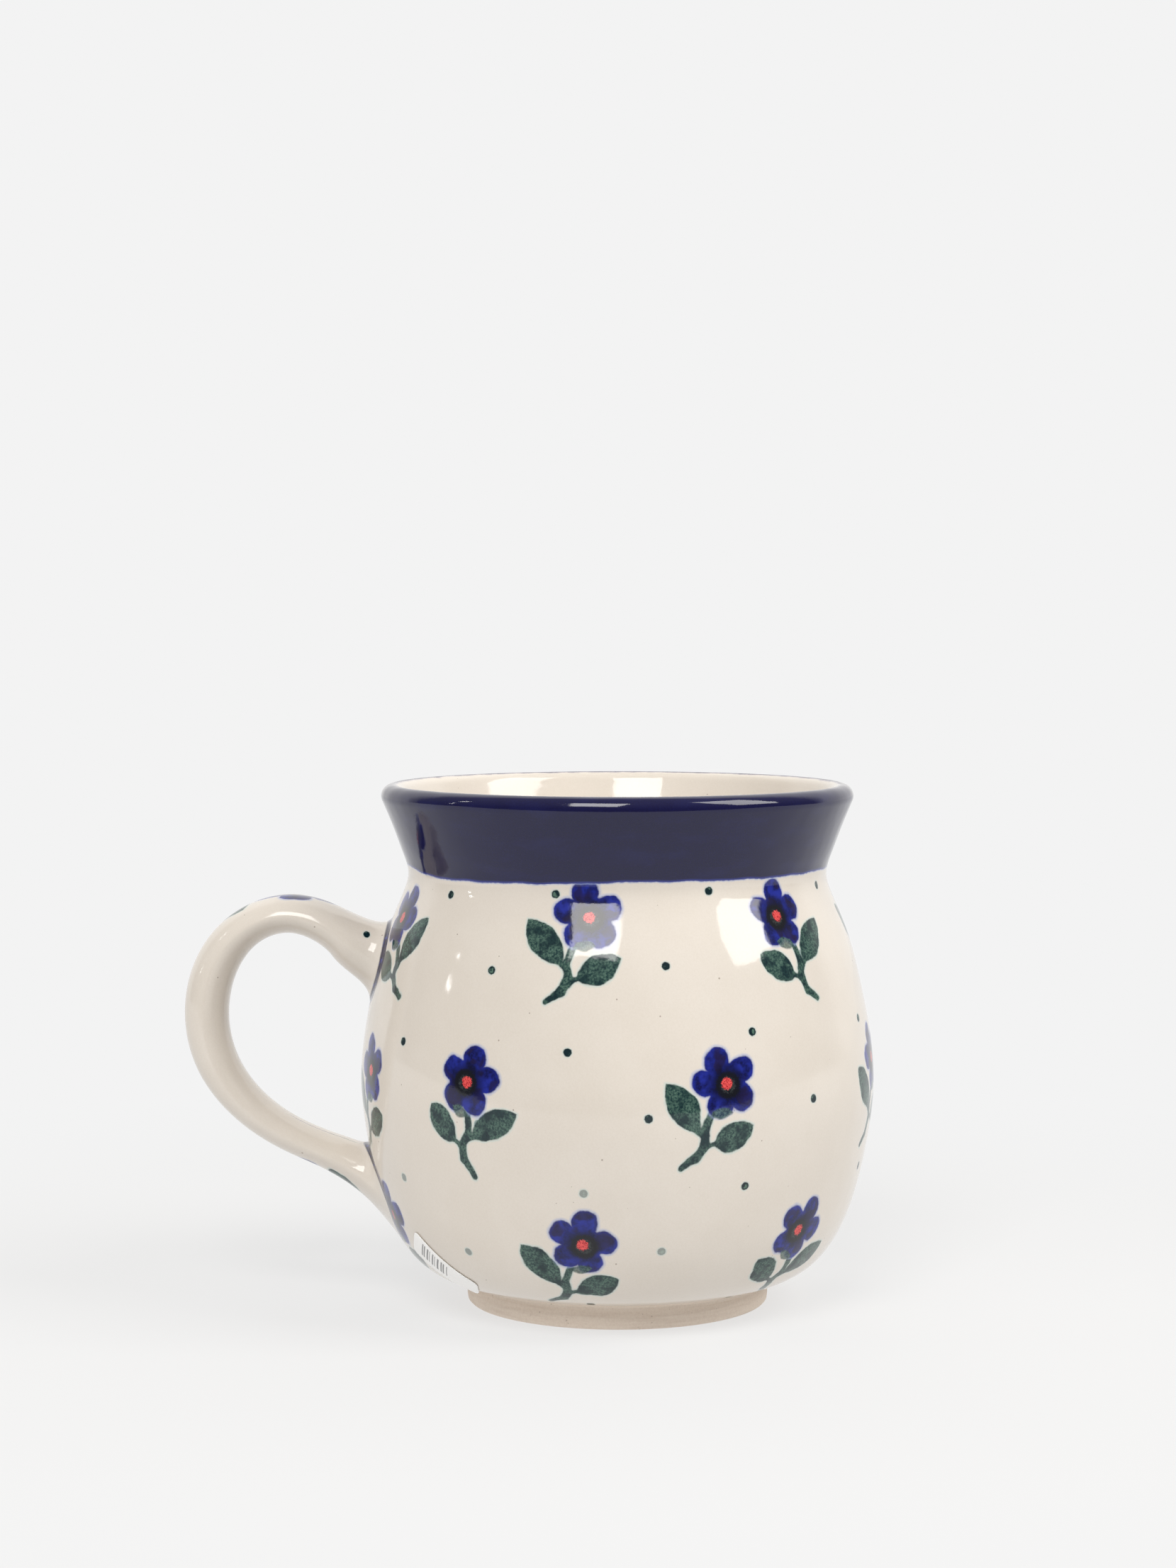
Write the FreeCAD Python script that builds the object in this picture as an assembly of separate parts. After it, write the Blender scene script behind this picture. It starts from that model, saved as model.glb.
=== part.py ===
"""Hand-thrown stoneware mug with a round belly, a flared collar and a pulled strap handle.

Millimetres, +Z up. The origin is the centre of the foot ring, on the plane that the mug stands on.
The handle points along -X. Clay, slip, glaze coats and the paper label are separate solids that
meet face to face.
"""
import FreeCAD, Part
import math
import os

Vector = FreeCAD.Vector
AXIS = (Vector(0, 0, 0), Vector(0, 0, 1))

# Driving dimensions.
HEIGHT = 95.0
FOOT_RADIUS = 27.6
FOOT_HEIGHT = 4.6
FOOT_RING_WIDTH = 4.4
FOOT_RECESS = 2.0
FOOT_EDGE = 0.5
BELLY_RADIUS = 47.1
BELLY_HEIGHT = 41.5
WAIST_RADIUS = 38.4
WAIST_HEIGHT = 78.8
LIP_MIDDLE = 41.2
LIP_RADIUS = 2.1
LIP_LEAN = math.radians(20)
WALL = 4.1
FLOOR = 5.4
GLAZE = 0.3
BAND_BOTTOM = 80.0

# The height where both faces of the outer glaze are divided, so that its thickness stays true when it is meshed.
GLAZE_DIVISION = 42.0

# Places on the lip's round: where the outside of the wall meets it, and where the inside does.
LIP_CENTRE = HEIGHT - LIP_RADIUS
LIP_OUT = (LIP_MIDDLE + LIP_RADIUS * math.cos(LIP_LEAN), LIP_CENTRE - LIP_RADIUS * math.sin(LIP_LEAN))
LIP_IN = (LIP_MIDDLE - LIP_RADIUS * math.cos(LIP_LEAN), LIP_CENTRE + LIP_RADIUS * math.sin(LIP_LEAN))

# Glazed outline of the outside, radius and height, from the crease above the foot to the lip.
OUTSIDE = [
    (FOOT_RADIUS + 0.8, FOOT_HEIGHT),
    (32.6, 5.6),
    (36.4, 7.8),
    (41.4, 14.6),
    (45.2, 26.5),
    (BELLY_RADIUS, BELLY_HEIGHT),
    (45.2, 56.5),
    (41.7, 69.5),
    (39.3, 75.3),
    (WAIST_RADIUS, WAIST_HEIGHT),
    (39.4, 82.6),
    (41.3, 87.7),
    LIP_OUT,
]

# Glazed outline of the inside, from the flat of the floor to the lip.
INSIDE = [
    (20.0, FLOOR),
    (31.0, 8.4),
    (37.4, 15.6),
    (41.1, 27.0),
    (BELLY_RADIUS - WALL, BELLY_HEIGHT),
    (41.2, 56.0),
    (37.8, 68.0),
    (35.4, 74.2),
    (WAIST_RADIUS - WALL, WAIST_HEIGHT),
    (35.2, 83.6),
    (37.0, 88.6),
    LIP_IN,
]

# The strap's stations: reach from the mug's axis, height, thickness, width.
STRAP = [
    (39.0, 62.2, 12.6, 15.6),
    (45.4, 64.5, 10.6, 15.2),
    (49.8, 66.9, 8.2, 14.6),
    (54.8, 69.8, 6.8, 13.6),
    (60.3, 71.0, 6.4, 13.0),
    (67.4, 68.9, 6.5, 12.8),
    (72.6, 63.6, 7.1, 12.8),
    (75.5, 54.2, 7.4, 12.8),
    (73.9, 44.2, 7.0, 12.8),
    (67.7, 35.5, 6.1, 12.8),
    (59.8, 30.1, 5.6, 13.0),
    (52.0, 26.7, 6.0, 13.6),
    (44.5, 23.1, 8.6, 14.6),
    (37.5, 19.4, 11.0, 15.0),
]

# Slip worked round each end of the strap: reach, height, thickness, width and slope of each oval.
UPPER_SLIP = [
    (40.5, 62.2, 17.5, 20.0, 15),
    (43.9, 63.0, 16.0, 19.0, 17),
    (46.2, 64.4, 12.2, 16.8, 25),
    (49.2, 66.5, 9.2, 15.4, 31),
]
LOWER_SLIP = [
    (38.0, 20.0, 21.0, 18.5, -18),
    (42.4, 20.0, 19.5, 18.0, -18),
    (44.2, 22.0, 15.0, 16.8, -12),
    (46.6, 24.2, 9.4, 15.6, 10),
    (51.0, 26.2, 6.9, 14.4, 25),
]
OVAL_POINTS = 12
OVAL_POWER = 2.3
BLOCK = 26.0

# Paper price label, stuck on the lower belly beside the handle and bridging to the foot.
LABEL_ANGLE = 212
LABEL_WIDTH = 5.6
LABEL_THICKNESS = 0.15
LABEL_GAP = 0.05
LABEL_TOP = 16.8
LABEL_LEAVES_BELLY = 7.2
LABEL_END = (FOOT_RADIUS + 2.8, 3.4)
LABEL_CORNER = 1.0


def point(radius, height):
    """A point of the mug's section, in the plane y = 0."""
    return Vector(radius, 0, height)


def spline(points):
    """A smooth curve through the points."""
    curve = Part.BSplineCurve()
    curve.interpolate(points)
    return curve


def offset(curve, distance, samples=30):
    """A curve at a constant distance from one that climbs, positive towards the mug's axis."""
    points = []
    for i in range(samples + 1):
        along = curve.FirstParameter + (curve.LastParameter - curve.FirstParameter) * i / samples
        tangent = curve.tangent(along)[0]
        points.append(curve.value(along) + Vector(-tangent.z, 0, tangent.x) * distance)
    return spline(points)


def outside_curve(depth):
    """The outside of the wall, at a depth below its glazed surface."""
    return offset(spline([point(*place) for place in OUTSIDE]), depth)


def inside_curve(depth):
    """The inside of the wall, at a depth below its glazed surface."""
    return offset(spline([point(*place) for place in INSIDE]), -depth)


def parameter_at(curve, height):
    """Where a climbing curve reaches a height."""
    low, high = curve.FirstParameter, curve.LastParameter
    for _ in range(60):
        middle = (low + high) / 2
        if curve.value(middle).z < height:
            low = middle
        else:
            high = middle
    return (low + high) / 2


def stretch(curve, low=None, high=None):
    """The edge of a curve between two heights, or to its ends."""
    first = curve.FirstParameter if low is None else parameter_at(curve, low)
    last = curve.LastParameter if high is None else parameter_at(curve, high)
    return curve.toShape(first, last)


def lip_arcs(depth):
    """The round of the lip in two arcs, outside to crest and crest to inside, at a depth below the glaze."""
    radius = LIP_RADIUS - depth
    crest = point(LIP_MIDDLE, HEIGHT - depth)
    arcs = []
    for curve, side in ((outside_curve(depth), 1), (inside_curve(depth), -1)):
        shoulder = point(LIP_MIDDLE + side * radius * math.sqrt(0.5), LIP_CENTRE + radius * math.sqrt(0.5))
        arcs.append(Part.Arc(curve.value(curve.LastParameter), shoulder, crest).toShape())
    return arcs


def straight(start, end):
    return Part.LineSegment(start, end).toShape()


def across(first, second, last):
    """The straight edge between two climbing edges, at their tops if last is true, else at their feet."""
    ends = [edge.lastVertex() if last else edge.firstVertex() for edge in (first, second)]
    return straight(ends[0].Point, ends[1].Point)


def path(places):
    """Straight edges through a list of radii and heights."""
    corners = [point(*place) for place in places]
    return [straight(start, end) for start, end in zip(corners, corners[1:])]


def revolve(edges):
    """The solid that a closed outline sweeps about the mug's axis."""
    wire = Part.Wire(Part.__sortEdges__(edges))
    solid = Part.Face(wire).revolve(*AXIS, 360)
    return Part.Solid(solid.Shells[0])


def stoneware_body():
    """The thrown pot in bare clay: floor, belly, collar and a turned foot ring with a recess."""
    outside = outside_curve(GLAZE)
    inside = inside_curve(GLAZE)
    crease = outside.value(outside.FirstParameter)
    well = inside.value(inside.FirstParameter)
    ring_inside = FOOT_RADIUS - FOOT_RING_WIDTH
    foot = path([
        (well.x, well.z),
        (0, well.z),
        (0, FOOT_RECESS),
        (ring_inside - FOOT_RECESS, FOOT_RECESS),
        (ring_inside - FOOT_EDGE, FOOT_EDGE),
        (ring_inside, 0),
        (FOOT_RADIUS - FOOT_EDGE, 0),
        (FOOT_RADIUS, FOOT_EDGE),
        (FOOT_RADIUS, FOOT_HEIGHT - FOOT_EDGE),
        (crease.x, crease.z),
    ])
    return revolve([stretch(outside), stretch(inside)] + lip_arcs(GLAZE) + foot)


def outer_glaze():
    """The clear glaze on the outside, from the crease above the foot to the cobalt band."""
    skin, clay = [
        [stretch(side, high=GLAZE_DIVISION), stretch(side, GLAZE_DIVISION, BAND_BOTTOM)]
        for side in (outside_curve(0), outside_curve(GLAZE))
    ]
    return revolve(skin + clay + [across(skin[0], clay[0], False), across(skin[-1], clay[-1], True)])


def rim_band():
    """The cobalt glaze over the collar, up to the crest of the lip."""
    skin = [stretch(outside_curve(0), low=BAND_BOTTOM), lip_arcs(0)[0]]
    clay = [stretch(outside_curve(GLAZE), low=BAND_BOTTOM), lip_arcs(GLAZE)[0]]
    return revolve(skin + clay + [across(skin[0], clay[0], False), across(skin[1], clay[1], True)])


def inner_glaze():
    """The lining: glaze over the floor, up the inside of the wall and over the lip to its crest."""
    skin = [stretch(inside_curve(0)), lip_arcs(0)[1]]
    clay = [stretch(inside_curve(GLAZE)), lip_arcs(GLAZE)[1]]
    skin_well = skin[0].firstVertex().Point
    clay_well = clay[0].firstVertex().Point
    floor = path([(skin_well.x, skin_well.z), (0, skin_well.z), (0, clay_well.z), (clay_well.x, clay_well.z)])
    return revolve(skin + clay + floor + [across(skin[1], clay[1], True)])


def oval(reach, height, thickness, width, slope):
    """A closed oval across a strap that points up from the mug's -X side by a slope in radians."""
    centre = Vector(-reach, 0, height)
    up = Vector(math.sin(slope), 0, math.cos(slope))
    corners = []
    for i in range(OVAL_POINTS):
        turn = 2 * math.pi * i / OVAL_POINTS
        side = math.copysign(abs(math.cos(turn)) ** (2 / OVAL_POWER), math.cos(turn))
        rise = math.copysign(abs(math.sin(turn)) ** (2 / OVAL_POWER), math.sin(turn))
        corners.append(centre + Vector(0, width / 2 * side, 0) + up * (thickness / 2 * rise))
    curve = Part.BSplineCurve()
    curve.interpolate(Points=corners, PeriodicFlag=True)
    return Part.Wire(curve.toShape())


def strap(growth):
    """The pulled strap through its stations, thicker all round by a growth."""
    middle = spline([point(reach, height) for reach, height, _, _ in STRAP])
    ovals = []
    for reach, height, thickness, width in STRAP:
        tangent = middle.tangent(middle.parameter(point(reach, height)))[0]
        slope = math.atan2(tangent.z, tangent.x)
        ovals.append(oval(reach, height, thickness + 2 * growth, width + 2 * growth, slope))
    return Part.makeLoft(ovals, True)


def slip(ovals):
    """A collar of slip that swells from the strap to the wall."""
    return Part.makeLoft([oval(*size, math.radians(degrees)) for *size, degrees in ovals], True)


def wall_side(collar_end):
    """A block that holds everything between a collar's last oval and the wall."""
    reach, height, _, _, degrees = collar_end
    block = Part.makeBox(BLOCK, 2 * BLOCK, BLOCK, Vector(0, -BLOCK, -BLOCK / 2))
    block.rotate(Vector(0, 0, 0), Vector(0, 1, 0), degrees)
    block.translate(Vector(-reach, 0, height))
    return block


def handle_glaze():
    """The glaze on the strap between the two collars of slip."""
    coat = strap(GLAZE).cut(strap(0))
    return coat.cut(wall_side(UPPER_SLIP[-1])).cut(wall_side(LOWER_SLIP[-1]))


def pot_envelope(depth):
    """The pot filled solid, out to a depth below its glazed outside."""
    outside = outside_curve(depth)
    foot = outside.value(outside.FirstParameter)
    top = outside.value(outside.LastParameter)
    core = path([(top.x, top.z), (0, top.z), (0, foot.z), (foot.x, foot.z)])
    return revolve([stretch(outside)] + core)


def label_blank(top, end):
    """A round-cornered block whose outline, seen square on, is the label's, from its top to its end."""
    length = (top - end).Length
    block = Part.makeBox(length, LABEL_WIDTH, length, Vector(0, -LABEL_WIDTH / 2, -length / 2))
    upright = [edge for edge in block.Edges if edge.BoundBox.ZLength > length / 2]
    block = block.makeFillet(LABEL_CORNER, upright)
    climb = math.atan2(top.z - end.z, top.x - end.x)
    block.rotate(Vector(0, 0, 0), Vector(0, 1, 0), -math.degrees(climb))
    block.translate(end)
    return block


def price_label():
    """The paper label: it follows the belly, then runs straight down to the foot, with round corners."""
    back = outside_curve(-LABEL_GAP)
    face = outside_curve(-LABEL_GAP - LABEL_THICKNESS)
    curved = [stretch(side, LABEL_LEAVES_BELLY, LABEL_TOP) for side in (back, face)]
    leave_back, leave_face = [edge.firstVertex().Point for edge in curved]
    end = point(*LABEL_END)
    thickness = leave_face - leave_back
    outline = curved + [
        across(*curved, True),
        straight(leave_back, end),
        straight(end, end + thickness),
        straight(end + thickness, leave_face),
    ]
    section = Part.Face(Part.Wire(Part.__sortEdges__(outline)))
    section.translate(Vector(0, -LABEL_WIDTH / 2, 0))
    label = section.extrude(Vector(0, LABEL_WIDTH, 0))
    label = label.common(label_blank(curved[1].lastVertex().Point, end))
    label.rotate(*AXIS, LABEL_ANGLE)
    return label


def build():
    """Every piece by name, cut so that neighbours meet face to face."""
    clay_pot = pot_envelope(GLAZE)
    handle = strap(0).cut(clay_pot)
    upper = slip(UPPER_SLIP).cut(clay_pot).cut(strap(0))
    lower = slip(LOWER_SLIP).cut(clay_pot).cut(strap(0))
    joints = upper.fuse(lower)
    return {
        "stoneware_body": stoneware_body(),
        "stoneware_handle": handle,
        "upper_handle_joint": upper,
        "lower_handle_joint": lower,
        "outer_glaze": outer_glaze().cut(strap(0)).cut(joints),
        "rim_band": rim_band(),
        "inner_glaze": inner_glaze(),
        "handle_glaze": handle_glaze(),
        "price_label": price_label(),
    }


def largest(shape):
    """The biggest solid of a shape, without the slivers that a cut can leave."""
    return max(shape.Solids, key=lambda solid: solid.Volume)


def main():
    os.makedirs("parts", exist_ok=True)
    for name, shape in build().items():
        solid = largest(shape)
        box = solid.BoundBox
        print(f"{name}: solids {len(shape.Solids)} valid {solid.isValid()} volume {solid.Volume:.1f} "
              f"x {box.XMin:.2f}..{box.XMax:.2f} y {box.YMin:.2f}..{box.YMax:.2f} z {box.ZMin:.2f}..{box.ZMax:.2f}")
        solid.exportStep(f"parts/{name}.step")


main()
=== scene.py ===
"""The looks of a folk stoneware mug: glazed pot, looped handle, stamped flowers and a paper label.

Sizes in this file are millimetres until a mesh is made. Azimuth is measured round the mug's axis from
the side that faces the camera, -Y, and grows towards +X, so the handle is at -90 degrees.
"""
import math

import bpy
import numpy as np
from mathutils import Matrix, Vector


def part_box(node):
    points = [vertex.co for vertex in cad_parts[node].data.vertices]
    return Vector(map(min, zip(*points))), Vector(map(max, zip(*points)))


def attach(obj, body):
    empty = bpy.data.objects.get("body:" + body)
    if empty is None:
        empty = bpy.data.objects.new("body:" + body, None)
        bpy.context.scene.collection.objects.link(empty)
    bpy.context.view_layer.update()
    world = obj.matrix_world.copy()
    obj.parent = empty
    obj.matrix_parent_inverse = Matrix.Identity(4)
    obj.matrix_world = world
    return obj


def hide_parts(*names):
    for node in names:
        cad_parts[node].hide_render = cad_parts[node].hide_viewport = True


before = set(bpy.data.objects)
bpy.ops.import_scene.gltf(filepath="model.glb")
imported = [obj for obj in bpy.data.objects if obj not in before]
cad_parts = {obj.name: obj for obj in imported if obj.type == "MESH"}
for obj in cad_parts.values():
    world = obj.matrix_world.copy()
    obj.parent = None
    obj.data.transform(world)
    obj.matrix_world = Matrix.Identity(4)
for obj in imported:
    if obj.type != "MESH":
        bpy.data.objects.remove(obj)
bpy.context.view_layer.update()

MM = 0.001
TAU = 2 * math.pi

# Sizes read from the frame.
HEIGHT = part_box("rim_band")[1][2] / MM
BAND_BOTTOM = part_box("rim_band")[0][2] / MM
BELLY_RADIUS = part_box("outer_glaze")[1][1] / MM
CREASE_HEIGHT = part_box("outer_glaze")[0][2] / MM

# The pot's outline, as in the design: radius and height.
LIP_MIDDLE = 41.2
LIP_RADIUS = 2.1
LIP_LEAN = math.radians(20)
LIP_CENTRE = HEIGHT - LIP_RADIUS
WALL = 4.1
GLAZE = 0.3
FOOT_RADIUS = 27.6
OUTSIDE = [
    (28.4, CREASE_HEIGHT),
    (32.6, 5.6),
    (36.4, 7.8),
    (41.4, 14.6),
    (45.2, 26.5),
    (BELLY_RADIUS, 41.5),
    (45.2, 56.5),
    (41.7, 69.5),
    (39.3, 75.3),
    (38.4, 78.8),
    (39.4, 82.6),
    (41.3, 87.7),
    (LIP_MIDDLE + LIP_RADIUS * math.cos(LIP_LEAN), LIP_CENTRE - LIP_RADIUS * math.sin(LIP_LEAN)),
]
INSIDE = [
    (20.0, 5.4),
    (31.0, 8.4),
    (37.4, 15.6),
    (41.1, 27.0),
    (BELLY_RADIUS - WALL, 41.5),
    (41.2, 56.0),
    (37.8, 68.0),
    (35.4, 74.2),
    (34.3, 78.8),
    (35.2, 83.6),
    (37.0, 88.6),
    (LIP_MIDDLE - LIP_RADIUS * math.cos(LIP_LEAN), LIP_CENTRE + LIP_RADIUS * math.sin(LIP_LEAN)),
]

# The strap's stations, as in the design: reach from the axis, height, thickness, width.
STRAP = [
    (39.0, 61.6, 14.8, 16.6),
    (45.4, 63.9, 12.6, 15.8),
    (49.8, 66.9, 8.2, 14.6),
    (54.8, 69.8, 6.8, 13.6),
    (60.3, 71.0, 6.4, 13.0),
    (67.4, 68.9, 6.5, 12.8),
    (72.6, 63.6, 7.1, 12.8),
    (75.5, 54.2, 7.4, 12.8),
    (73.9, 44.2, 7.0, 12.8),
    (67.7, 35.5, 6.1, 12.8),
    (59.8, 30.1, 5.6, 13.0),
    (52.0, 26.7, 6.0, 13.6),
    (44.5, 23.1, 8.6, 14.6),
    (37.5, 19.4, 11.0, 15.0),
]
OVAL_POWER = 2.3
EDGE_POWER = 1.2
STRAP_FROM = 2
STRAP_TO = 11

# Where each end of the handle spreads on to the wall: middle height, half height and half width.
UPPER_ROOT = (62.4, 8.6, 10.5)
LOWER_ROOT = (19.4, 10.2, 14.0)

# Grids.
COLUMNS = 384
RING_POINTS = 96
ROW_STEP = 0.6
HANDLE_STEP = 0.7
FILLET_ROWS = 26

# Stamped flowers: azimuth and height of the red centre, turn in degrees, and -1 for a mirrored stamp.
SPRIGS = [
    (-71, 71.6, 4, -1),
    (-7, 74.2, 4, 1),
    (44, 73.5, -8, -1),
    (96, 74.0, 4, 1),
    (149, 73.2, -10, -1),
    (-159, 74.0, 8, 1),
    (-113, 72.8, -4, -1),
    (-70, 44.4, 4, 1),
    (-33.4, 45.8, -27, -1),
    (23.4, 46.2, 0, 1),
    (80, 45.9, 4, 1),
    (132, 46.5, -14, -1),
    (-175, 45.2, 3, 1),
    (-121, 46.0, -8, -1),
    (-71, 18.0, 0, 1),
    (-8, 18.2, 4, 1),
    (47.7, 18.2, -24, -1),
    (101, 18.6, 2, 1),
    (155, 17.8, -12, -1),
    (-152, 18.6, 6, 1),
    (-113, 19.0, -6, -1),
]

# Stamped dots between the flowers: azimuth and height, first the dark ones and then the faint ones.
DARK_DOTS = [
    (-49, 76.8), (-16, 78.0), (24, 78.4), (68, 77.6), (-30, 64.9), (11, 66.2), (49, 66.8),
    (-54.5, 51.1), (-10.6, 51.8), (30.4, 54.6), (71, 53.8), (-66, 36.3), (-30.6, 38.7), (6.4, 40.7),
    (46.4, 42.0), (28.7, 28.0), (74, 26.7), (36.3, 5.7), (-8, 5.9),
]
FAINT_DOTS = [(-56.4, 26.7), (-7.3, 27.6), (-38.6, 15.0), (10.2, 17.0)]


# Smooth curves and surfaces

def smooth_curve(places, step):
    """Points every step along a smooth curve through the given places."""
    places = np.array(places, float)
    knots = np.concatenate([[0], np.cumsum(np.linalg.norm(np.diff(places, axis=0), axis=1))])
    gaps = np.diff(knots)
    count = len(places)
    system = np.eye(count)
    pull = np.zeros_like(places)
    for i in range(1, count - 1):
        system[i, i - 1:i + 2] = gaps[i - 1], 2 * (gaps[i - 1] + gaps[i]), gaps[i]
        pull[i] = 6 * ((places[i + 1] - places[i]) / gaps[i] - (places[i] - places[i - 1]) / gaps[i - 1])
    bend = np.linalg.solve(system, pull)
    along = np.linspace(0, knots[-1], max(2, round(knots[-1] / step)) + 1)
    left = np.clip(np.searchsorted(knots, along, side="right") - 1, 0, count - 2)
    gap = gaps[left][:, None]
    before = (along - knots[left])[:, None]
    after = gap - before
    return (
        (bend[left] * after ** 3 + bend[left + 1] * before ** 3) / (6 * gap)
        + (places[left] / gap - bend[left] * gap / 6) * after
        + (places[left + 1] / gap - bend[left + 1] * gap / 6) * before
    )


def circle_arc(centre, radius, start, end, step):
    """Points along an arc, from one angle to another."""
    angles = np.linspace(start, end, max(2, round(abs(end - start) * radius / step)) + 1)
    return np.stack([centre[0] + radius * np.cos(angles), centre[1] + radius * np.sin(angles)], axis=1)


def joined(*runs):
    """One line of points through several, with each shared end kept once."""
    return np.concatenate([runs[0]] + [run[1:] for run in runs[1:]])


class Outline:
    """A line of radii and heights that can be read at any distance along it."""

    def __init__(self, points):
        self.points = points
        self.lengths = np.concatenate([[0], np.cumsum(np.linalg.norm(np.diff(points, axis=0), axis=1))])
        self.length = self.lengths[-1]

    def radius(self, along):
        return np.interp(along, self.lengths, self.points[:, 0])

    def height(self, along):
        return np.interp(along, self.lengths, self.points[:, 1])

    def reach(self, height):
        """How far along the line a height is, on a line that only climbs."""
        return np.interp(height, self.points[:, 1], self.lengths)

    def inset(self, depth):
        """The line moved in by a depth, away from the side that it faces."""
        run = np.gradient(self.points, axis=0)
        side = np.stack([run[:, 1], -run[:, 0]], axis=1)
        return Outline(self.points - depth * side / np.linalg.norm(side, axis=1, keepdims=True))


def wobble(azimuth, height):
    """How far hand throwing leaves the wall off its true round."""
    oval = 0.16 * np.cos(2 * azimuth + 0.7) + 0.07 * np.cos(3 * azimuth - 1.1)
    rings = 0.012 * np.sin(height * 0.5 + 0.6 * np.sin(azimuth)) + 0.001 * np.sin(height * 2.3 + azimuth)
    return oval * (0.35 + height / HEIGHT) + rings


def turned(outline, along, azimuths):
    """The hand-thrown surface that an outline sweeps, read at rows of distances along it."""
    along = along + 0 * azimuths
    height = outline.height(along)
    radius = outline.radius(along)
    radius = radius + wobble(azimuths, height) * np.clip(radius / 20, 0, 1)
    return np.stack([radius * np.sin(azimuths), -radius * np.cos(azimuths), height], axis=-1)


def normals_of(points, closed):
    """Smooth normals of a grid of points whose columns close on themselves if closed is true."""
    across = np.roll(points, -1, 1) - np.roll(points, 1, 1) if closed else np.gradient(points, axis=1)
    along = np.gradient(points, axis=0)
    normals = np.cross(across, along)
    return normals / np.maximum(np.linalg.norm(normals, axis=-1, keepdims=True), 1e-12)


def grid_faces(rows, columns, closed):
    """Corner indices of a grid's quads, wound so that they face the way its normals do."""
    steps = columns if closed else columns - 1
    row, column = np.meshgrid(np.arange(rows - 1), np.arange(steps), indexing="ij")
    after = (column + 1) % columns
    return np.stack([row * columns + column, row * columns + after,
                     (row + 1) * columns + after, (row + 1) * columns + column], axis=-1).reshape(-1, 4)


# Meshes

def make_piece(name, points, faces, normals, material, corner_data=None, point_data=None):
    """A mesh in metres from points and normals in millimetres, with its finish and its attributes."""
    mesh = bpy.data.meshes.new(name)
    mesh.from_pydata((np.asarray(points) * MM).tolist(), [], [list(face) for face in faces])
    mesh.shade_smooth()
    mesh.normals_split_custom_set_from_vertices(np.asarray(normals).tolist())
    for key, values in (corner_data or {}).items():
        layer = mesh.attributes.new(key, "FLOAT_VECTOR", "CORNER")
        layer.data.foreach_set("vector", np.asarray(values, np.float32).ravel())
    for key, values in (point_data or {}).items():
        layer = mesh.attributes.new(key, "FLOAT", "POINT")
        layer.data.foreach_set("value", np.asarray(values, np.float32).ravel())
    mesh.materials.append(material)
    piece = bpy.data.objects.new(name, mesh)
    bpy.context.scene.collection.objects.link(piece)
    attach(piece, "root")
    return piece


def shell(front, back):
    """A closed skin from a front grid and a back grid that runs the same way and has as many columns."""
    points = np.concatenate([front, back[::-1]])
    normals = np.concatenate([normals_of(front, True), -normals_of(back, True)[::-1]])
    rows, columns = points.shape[:2]
    faces = grid_faces(rows + 1, columns, True) % (rows * columns)
    return points.reshape(-1, 3), faces, normals.reshape(-1, 3)


# Shader building

class Signal:
    """A value in a material, with arithmetic that adds nodes."""

    def __init__(self, graph, socket):
        self.graph = graph
        self.socket = socket

    def __add__(self, other):
        return self.graph.math("ADD", self, other)

    def __sub__(self, other):
        return self.graph.math("SUBTRACT", self, other)

    def __rsub__(self, other):
        return self.graph.math("SUBTRACT", other, self)

    def __mul__(self, other):
        return self.graph.math("MULTIPLY", self, other)

    __radd__ = __add__
    __rmul__ = __mul__

    def __neg__(self):
        return self * -1.0


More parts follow.
